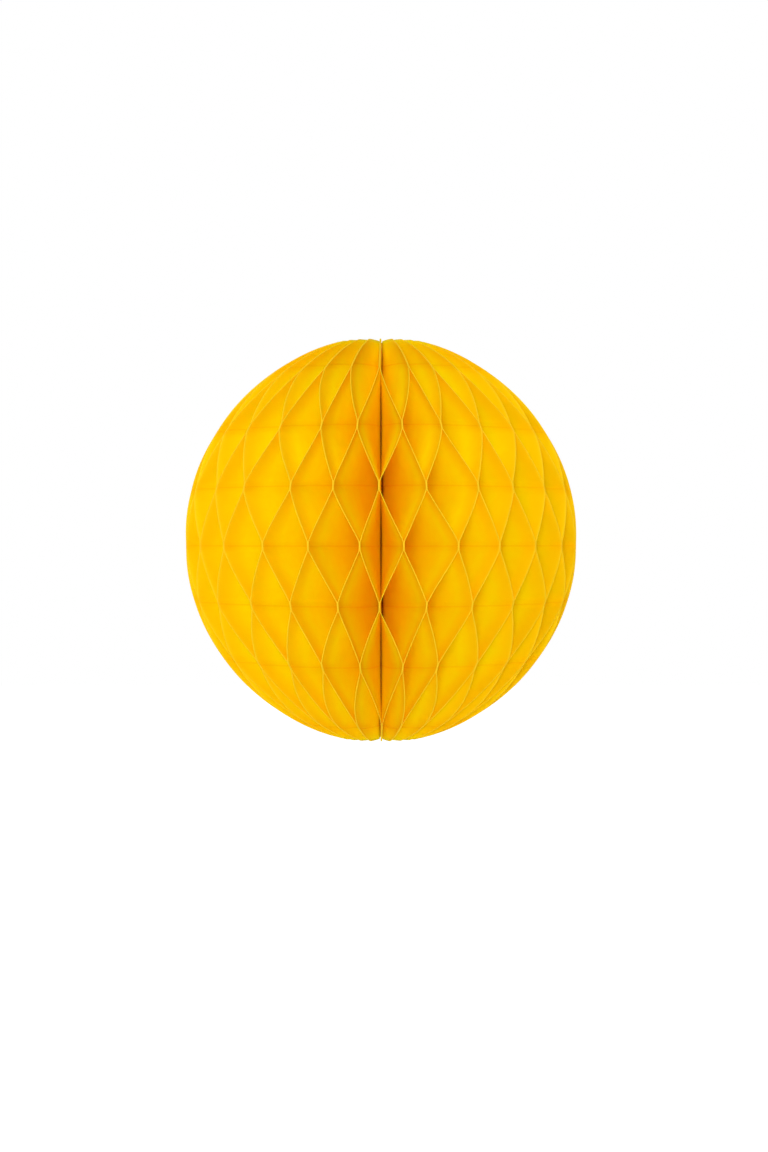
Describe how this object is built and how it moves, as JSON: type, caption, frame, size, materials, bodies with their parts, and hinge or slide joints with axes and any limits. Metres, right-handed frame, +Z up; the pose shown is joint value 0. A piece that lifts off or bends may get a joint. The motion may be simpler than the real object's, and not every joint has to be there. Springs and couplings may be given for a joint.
{
  "type": "paper honeycomb ball",
  "caption": "Hanging paper honeycomb ball: half-disc tissue leaves round an upright spine, glued into open lozenge cells, fanning shut to a flat half disc between card covers.",
  "frame": {"origin": "centre of the open ball, halfway between its poles on the spine", "axes": "+Z up along the spine towards the hanging loop, +Y towards the seam between the covers, -Y the front"},
  "size_m": [0.195, 0.1947, 0.2],
  "materials": {
    "tissue": "matt dyed tissue",
    "card": "matt dyed card",
    "adhesive": "clear double-sided pad",
    "thread": "twisted golden cotton"
  },
  "bodies": {
    "spine": {"fixed_cover": "card", "spine_thread": "thread", "hanging_loop": "thread"},
    "swing_cover": {"swing_cover": "card", "closure_pads": "adhesive"},
    "leaf_01": {"leaf_01": "tissue"},
    "leaf_02": {"leaf_02": "tissue"},
    "leaf_03": {"leaf_03": "tissue"},
    "leaf_04": {"leaf_04": "tissue"},
    "leaf_05": {"leaf_05": "tissue"},
    "leaf_06": {"leaf_06": "tissue"},
    "leaf_07": {"leaf_07": "tissue"},
    "leaf_08": {"leaf_08": "tissue"},
    "leaf_09": {"leaf_09": "tissue"},
    "leaf_10": {"leaf_10": "tissue"},
    "leaf_11": {"leaf_11": "tissue"},
    "leaf_12": {"leaf_12": "tissue"},
    "leaf_13": {"leaf_13": "tissue"},
    "leaf_14": {"leaf_14": "tissue"},
    "leaf_15": {"leaf_15": "tissue"},
    "leaf_16": {"leaf_16": "tissue"},
    "leaf_17": {"leaf_17": "tissue"},
    "leaf_18": {"leaf_18": "tissue"},
    "leaf_19": {"leaf_19": "tissue"},
    "leaf_20": {"leaf_20": "tissue"},
    "leaf_21": {"leaf_21": "tissue"},
    "leaf_22": {"leaf_22": "tissue"},
    "leaf_23": {"leaf_23": "tissue"},
    "leaf_24": {"leaf_24": "tissue"},
    "leaf_25": {"leaf_25": "tissue"},
    "leaf_26": {"leaf_26": "tissue"},
    "leaf_27": {"leaf_27": "tissue"},
    "leaf_28": {"leaf_28": "tissue"},
    "leaf_29": {"leaf_29": "tissue"},
    "leaf_30": {"leaf_30": "tissue"},
    "leaf_31": {"leaf_31": "tissue"},
    "leaf_32": {"leaf_32": "tissue"},
    "leaf_33": {"leaf_33": "tissue"},
    "leaf_34": {"leaf_34": "tissue"},
    "leaf_35": {"leaf_35": "tissue"},
    "leaf_36": {"leaf_36": "tissue"},
    "leaf_37": {"leaf_37": "tissue"},
    "leaf_38": {"leaf_38": "tissue"},
    "leaf_39": {"leaf_39": "tissue"},
    "leaf_40": {"leaf_40": "tissue"},
    "leaf_41": {"leaf_41": "tissue"},
    "leaf_42": {"leaf_42": "tissue"},
    "leaf_43": {"leaf_43": "tissue"},
    "leaf_44": {"leaf_44": "tissue"},
    "leaf_45": {"leaf_45": "tissue"},
    "leaf_46": {"leaf_46": "tissue"},
    "leaf_47": {"leaf_47": "tissue"},
    "leaf_48": {"leaf_48": "tissue"},
    "leaf_49": {"leaf_49": "tissue"},
    "leaf_50": {"leaf_50": "tissue"}
  },
  "joints": [
    {"name": "cover_swing", "type": "hinge", "parent": "spine", "child": "swing_cover", "pos_m": [0, 0, 0], "axis": [0, 0, 1], "range_deg": [-352.8, 0], "deforming": ["leaf_01", "leaf_02", "leaf_03", "leaf_04", "leaf_05", "leaf_06", "leaf_07", "leaf_08", "leaf_09", "leaf_10", "leaf_11", "leaf_12", "leaf_13", "leaf_14", "leaf_15", "leaf_16", "leaf_17", "leaf_18", "leaf_19", "leaf_20", "leaf_21", "leaf_22", "leaf_23", "leaf_24", "leaf_25", "leaf_26", "leaf_27", "leaf_28", "leaf_29", "leaf_30", "leaf_31", "leaf_32", "leaf_33", "leaf_34", "leaf_35", "leaf_36", "leaf_37", "leaf_38", "leaf_39", "leaf_40", "leaf_41", "leaf_42", "leaf_43", "leaf_44", "leaf_45", "leaf_46", "leaf_47", "leaf_48", "leaf_49", "leaf_50"]},
    {"name": "leaf_01_turn", "type": "hinge", "parent": "spine", "child": "leaf_01", "pos_m": [0, 0, 0], "axis": [0, 0, 1], "range_deg": [-3.54, 0]},
    {"name": "leaf_02_turn", "type": "hinge", "parent": "spine", "child": "leaf_02", "pos_m": [0, 0, 0], "axis": [0, 0, 1], "range_deg": [-10.59, 0]},
    {"name": "leaf_03_turn", "type": "hinge", "parent": "spine", "child": "leaf_03", "pos_m": [0, 0, 0], "axis": [0, 0, 1], "range_deg": [-17.65, 0]},
    {"name": "leaf_04_turn", "type": "hinge", "parent": "spine", "child": "leaf_04", "pos_m": [0, 0, 0], "axis": [0, 0, 1], "range_deg": [-24.71, 0]},
    {"name": "leaf_05_turn", "type": "hinge", "parent": "spine", "child": "leaf_05", "pos_m": [0, 0, 0], "axis": [0, 0, 1], "range_deg": [-31.76, 0]},
    {"name": "leaf_06_turn", "type": "hinge", "parent": "spine", "child": "leaf_06", "pos_m": [0, 0, 0], "axis": [0, 0, 1], "range_deg": [-38.82, 0]},
    {"name": "leaf_07_turn", "type": "hinge", "parent": "spine", "child": "leaf_07", "pos_m": [0, 0, 0], "axis": [0, 0, 1], "range_deg": [-45.87, 0]},
    {"name": "leaf_08_turn", "type": "hinge", "parent": "spine", "child": "leaf_08", "pos_m": [0, 0, 0], "axis": [0, 0, 1], "range_deg": [-52.93, 0]},
    {"name": "leaf_09_turn", "type": "hinge", "parent": "spine", "child": "leaf_09", "pos_m": [0, 0, 0], "axis": [0, 0, 1], "range_deg": [-59.99, 0]},
    {"name": "leaf_10_turn", "type": "hinge", "parent": "spine", "child": "leaf_10", "pos_m": [0, 0, 0], "axis": [0, 0, 1], "range_deg": [-67.04, 0]},
    {"name": "leaf_11_turn", "type": "hinge", "parent": "spine", "child": "leaf_11", "pos_m": [0, 0, 0], "axis": [0, 0, 1], "range_deg": [-74.1, 0]},
    {"name": "leaf_12_turn", "type": "hinge", "parent": "spine", "child": "leaf_12", "pos_m": [0, 0, 0], "axis": [0, 0, 1], "range_deg": [-81.15, 0]},
    {"name": "leaf_13_turn", "type": "hinge", "parent": "spine", "child": "leaf_13", "pos_m": [0, 0, 0], "axis": [0, 0, 1], "range_deg": [-88.21, 0]},
    {"name": "leaf_14_turn", "type": "hinge", "parent": "spine", "child": "leaf_14", "pos_m": [0, 0, 0], "axis": [0, 0, 1], "range_deg": [-95.27, 0]},
    {"name": "leaf_15_turn", "type": "hinge", "parent": "spine", "child": "leaf_15", "pos_m": [0, 0, 0], "axis": [0, 0, 1], "range_deg": [-102.32, 0]},
    {"name": "leaf_16_turn", "type": "hinge", "parent": "spine", "child": "leaf_16", "pos_m": [0, 0, 0], "axis": [0, 0, 1], "range_deg": [-109.38, 0]},
    {"name": "leaf_17_turn", "type": "hinge", "parent": "spine", "child": "leaf_17", "pos_m": [0, 0, 0], "axis": [0, 0, 1], "range_deg": [-116.43, 0]},
    {"name": "leaf_18_turn", "type": "hinge", "parent": "spine", "child": "leaf_18", "pos_m": [0, 0, 0], "axis": [0, 0, 1], "range_deg": [-123.49, 0]},
    {"name": "leaf_19_turn", "type": "hinge", "parent": "spine", "child": "leaf_19", "pos_m": [0, 0, 0], "axis": [0, 0, 1], "range_deg": [-130.55, 0]},
    {"name": "leaf_20_turn", "type": "hinge", "parent": "spine", "child": "leaf_20", "pos_m": [0, 0, 0], "axis": [0, 0, 1], "range_deg": [-137.6, 0]},
    {"name": "leaf_21_turn", "type": "hinge", "parent": "spine", "child": "leaf_21", "pos_m": [0, 0, 0], "axis": [0, 0, 1], "range_deg": [-144.66, 0]},
    {"name": "leaf_22_turn", "type": "hinge", "parent": "spine", "child": "leaf_22", "pos_m": [0, 0, 0], "axis": [0, 0, 1], "range_deg": [-151.71, 0]},
    {"name": "leaf_23_turn", "type": "hinge", "parent": "spine", "child": "leaf_23", "pos_m": [0, 0, 0], "axis": [0, 0, 1], "range_deg": [-158.77, 0]},
    {"name": "leaf_24_turn", "type": "hinge", "parent": "spine", "child": "leaf_24", "pos_m": [0, 0, 0], "axis": [0, 0, 1], "range_deg": [-165.83, 0]},
    {"name": "leaf_25_turn", "type": "hinge", "parent": "spine", "child": "leaf_25", "pos_m": [0, 0, 0], "axis": [0, 0, 1], "range_deg": [-172.88, 0]},
    {"name": "leaf_26_turn", "type": "hinge", "parent": "spine", "child": "leaf_26", "pos_m": [0, 0, 0], "axis": [0, 0, 1], "range_deg": [-179.94, 0]},
    {"name": "leaf_27_turn", "type": "hinge", "parent": "spine", "child": "leaf_27", "pos_m": [0, 0, 0], "axis": [0, 0, 1], "range_deg": [-186.99, 0]},
    {"name": "leaf_28_turn", "type": "hinge", "parent": "spine", "child": "leaf_28", "pos_m": [0, 0, 0], "axis": [0, 0, 1], "range_deg": [-194.05, 0]},
    {"name": "leaf_29_turn", "type": "hinge", "parent": "spine", "child": "leaf_29", "pos_m": [0, 0, 0], "axis": [0, 0, 1], "range_deg": [-201.11, 0]},
    {"name": "leaf_30_turn", "type": "hinge", "parent": "spine", "child": "leaf_30", "pos_m": [0, 0, 0], "axis": [0, 0, 1], "range_deg": [-208.16, 0]},
    {"name": "leaf_31_turn", "type": "hinge", "parent": "spine", "child": "leaf_31", "pos_m": [0, 0, 0], "axis": [0, 0, 1], "range_deg": [-215.22, 0]},
    {"name": "leaf_32_turn", "type": "hinge", "parent": "spine", "child": "leaf_32", "pos_m": [0, 0, 0], "axis": [0, 0, 1], "range_deg": [-222.27, 0]},
    {"name": "leaf_33_turn", "type": "hinge", "parent": "spine", "child": "leaf_33", "pos_m": [0, 0, 0], "axis": [0, 0, 1], "range_deg": [-229.33, 0]},
    {"name": "leaf_34_turn", "type": "hinge", "parent": "spine", "child": "leaf_34", "pos_m": [0, 0, 0], "axis": [0, 0, 1], "range_deg": [-236.39, 0]},
    {"name": "leaf_35_turn", "type": "hinge", "parent": "spine", "child": "leaf_35", "pos_m": [0, 0, 0], "axis": [0, 0, 1], "range_deg": [-243.44, 0]},
    {"name": "leaf_36_turn", "type": "hinge", "parent": "spine", "child": "leaf_36", "pos_m": [0, 0, 0], "axis": [0, 0, 1], "range_deg": [-250.5, 0]},
    {"name": "leaf_37_turn", "type": "hinge", "parent": "spine", "child": "leaf_37", "pos_m": [0, 0, 0], "axis": [0, 0, 1], "range_deg": [-257.55, 0]},
    {"name": "leaf_38_turn", "type": "hinge", "parent": "spine", "child": "leaf_38", "pos_m": [0, 0, 0], "axis": [0, 0, 1], "range_deg": [-264.61, 0]},
    {"name": "leaf_39_turn", "type": "hinge", "parent": "spine", "child": "leaf_39", "pos_m": [0, 0, 0], "axis": [0, 0, 1], "range_deg": [-271.67, 0]},
    {"name": "leaf_40_turn", "type": "hinge", "parent": "spine", "child": "leaf_40", "pos_m": [0, 0, 0], "axis": [0, 0, 1], "range_deg": [-278.72, 0]},
    {"name": "leaf_41_turn", "type": "hinge", "parent": "spine", "child": "leaf_41", "pos_m": [0, 0, 0], "axis": [0, 0, 1], "range_deg": [-285.78, 0]},
    {"name": "leaf_42_turn", "type": "hinge", "parent": "spine", "child": "leaf_42", "pos_m": [0, 0, 0], "axis": [0, 0, 1], "range_deg": [-292.83, 0]},
    {"name": "leaf_43_turn", "type": "hinge", "parent": "spine", "child": "leaf_43", "pos_m": [0, 0, 0], "axis": [0, 0, 1], "range_deg": [-299.89, 0]},
    {"name": "leaf_44_turn", "type": "hinge", "parent": "spine", "child": "leaf_44", "pos_m": [0, 0, 0], "axis": [0, 0, 1], "range_deg": [-306.95, 0]},
    {"name": "leaf_45_turn", "type": "hinge", "parent": "spine", "child": "leaf_45", "pos_m": [0, 0, 0], "axis": [0, 0, 1], "range_deg": [-314, 0]},
    {"name": "leaf_46_turn", "type": "hinge", "parent": "spine", "child": "leaf_46", "pos_m": [0, 0, 0], "axis": [0, 0, 1], "range_deg": [-321.06, 0]},
    {"name": "leaf_47_turn", "type": "hinge", "parent": "spine", "child": "leaf_47", "pos_m": [0, 0, 0], "axis": [0, 0, 1], "range_deg": [-328.11, 0]},
    {"name": "leaf_48_turn", "type": "hinge", "parent": "spine", "child": "leaf_48", "pos_m": [0, 0, 0], "axis": [0, 0, 1], "range_deg": [-335.17, 0]},
    {"name": "leaf_49_turn", "type": "hinge", "parent": "spine", "child": "leaf_49", "pos_m": [0, 0, 0], "axis": [0, 0, 1], "range_deg": [-342.23, 0]},
    {"name": "leaf_50_turn", "type": "hinge", "parent": "spine", "child": "leaf_50", "pos_m": [0, 0, 0], "axis": [0, 0, 1], "range_deg": [-349.28, 0]}
  ],
  "couplings": [
    {"joint": "leaf_01_turn", "follows": "cover_swing", "ratio": 0.01},
    {"joint": "leaf_02_turn", "follows": "cover_swing", "ratio": 0.03},
    {"joint": "leaf_03_turn", "follows": "cover_swing", "ratio": 0.05},
    {"joint": "leaf_04_turn", "follows": "cover_swing", "ratio": 0.07},
    {"joint": "leaf_05_turn", "follows": "cover_swing", "ratio": 0.09},
    {"joint": "leaf_06_turn", "follows": "cover_swing", "ratio": 0.11},
    {"joint": "leaf_07_turn", "follows": "cover_swing", "ratio": 0.13},
    {"joint": "leaf_08_turn", "follows": "cover_swing", "ratio": 0.15},
    {"joint": "leaf_09_turn", "follows": "cover_swing", "ratio": 0.17},
    {"joint": "leaf_10_turn", "follows": "cover_swing", "ratio": 0.19},
    {"joint": "leaf_11_turn", "follows": "cover_swing", "ratio": 0.21},
    {"joint": "leaf_12_turn", "follows": "cover_swing", "ratio": 0.23},
    {"joint": "leaf_13_turn", "follows": "cover_swing", "ratio": 0.25},
    {"joint": "leaf_14_turn", "follows": "cover_swing", "ratio": 0.27},
    {"joint": "leaf_15_turn", "follows": "cover_swing", "ratio": 0.29},
    {"joint": "leaf_16_turn", "follows": "cover_swing", "ratio": 0.31},
    {"joint": "leaf_17_turn", "follows": "cover_swing", "ratio": 0.33},
    {"joint": "leaf_18_turn", "follows": "cover_swing", "ratio": 0.35},
    {"joint": "leaf_19_turn", "follows": "cover_swing", "ratio": 0.37},
    {"joint": "leaf_20_turn", "follows": "cover_swing", "ratio": 0.39},
    {"joint": "leaf_21_turn", "follows": "cover_swing", "ratio": 0.41},
    {"joint": "leaf_22_turn", "follows": "cover_swing", "ratio": 0.43},
    {"joint": "leaf_23_turn", "follows": "cover_swing", "ratio": 0.45},
    {"joint": "leaf_24_turn", "follows": "cover_swing", "ratio": 0.47},
    {"joint": "leaf_25_turn", "follows": "cover_swing", "ratio": 0.49},
    {"joint": "leaf_26_turn", "follows": "cover_swing", "ratio": 0.51},
    {"joint": "leaf_27_turn", "follows": "cover_swing", "ratio": 0.53},
    {"joint": "leaf_28_turn", "follows": "cover_swing", "ratio": 0.55},
    {"joint": "leaf_29_turn", "follows": "cover_swing", "ratio": 0.57},
    {"joint": "leaf_30_turn", "follows": "cover_swing", "ratio": 0.59},
    {"joint": "leaf_31_turn", "follows": "cover_swing", "ratio": 0.61},
    {"joint": "leaf_32_turn", "follows": "cover_swing", "ratio": 0.63},
    {"joint": "leaf_33_turn", "follows": "cover_swing", "ratio": 0.65},
    {"joint": "leaf_34_turn", "follows": "cover_swing", "ratio": 0.67},
    {"joint": "leaf_35_turn", "follows": "cover_swing", "ratio": 0.69},
    {"joint": "leaf_36_turn", "follows": "cover_swing", "ratio": 0.71},
    {"joint": "leaf_37_turn", "follows": "cover_swing", "ratio": 0.73},
    {"joint": "leaf_38_turn", "follows": "cover_swing", "ratio": 0.75},
    {"joint": "leaf_39_turn", "follows": "cover_swing", "ratio": 0.77},
    {"joint": "leaf_40_turn", "follows": "cover_swing", "ratio": 0.79},
    {"joint": "leaf_41_turn", "follows": "cover_swing", "ratio": 0.81},
    {"joint": "leaf_42_turn", "follows": "cover_swing", "ratio": 0.83},
    {"joint": "leaf_43_turn", "follows": "cover_swing", "ratio": 0.85},
    {"joint": "leaf_44_turn", "follows": "cover_swing", "ratio": 0.87},
    {"joint": "leaf_45_turn", "follows": "cover_swing", "ratio": 0.89},
    {"joint": "leaf_46_turn", "follows": "cover_swing", "ratio": 0.91},
    {"joint": "leaf_47_turn", "follows": "cover_swing", "ratio": 0.93},
    {"joint": "leaf_48_turn", "follows": "cover_swing", "ratio": 0.95},
    {"joint": "leaf_49_turn", "follows": "cover_swing", "ratio": 0.97},
    {"joint": "leaf_50_turn", "follows": "cover_swing", "ratio": 0.99}
  ]
}
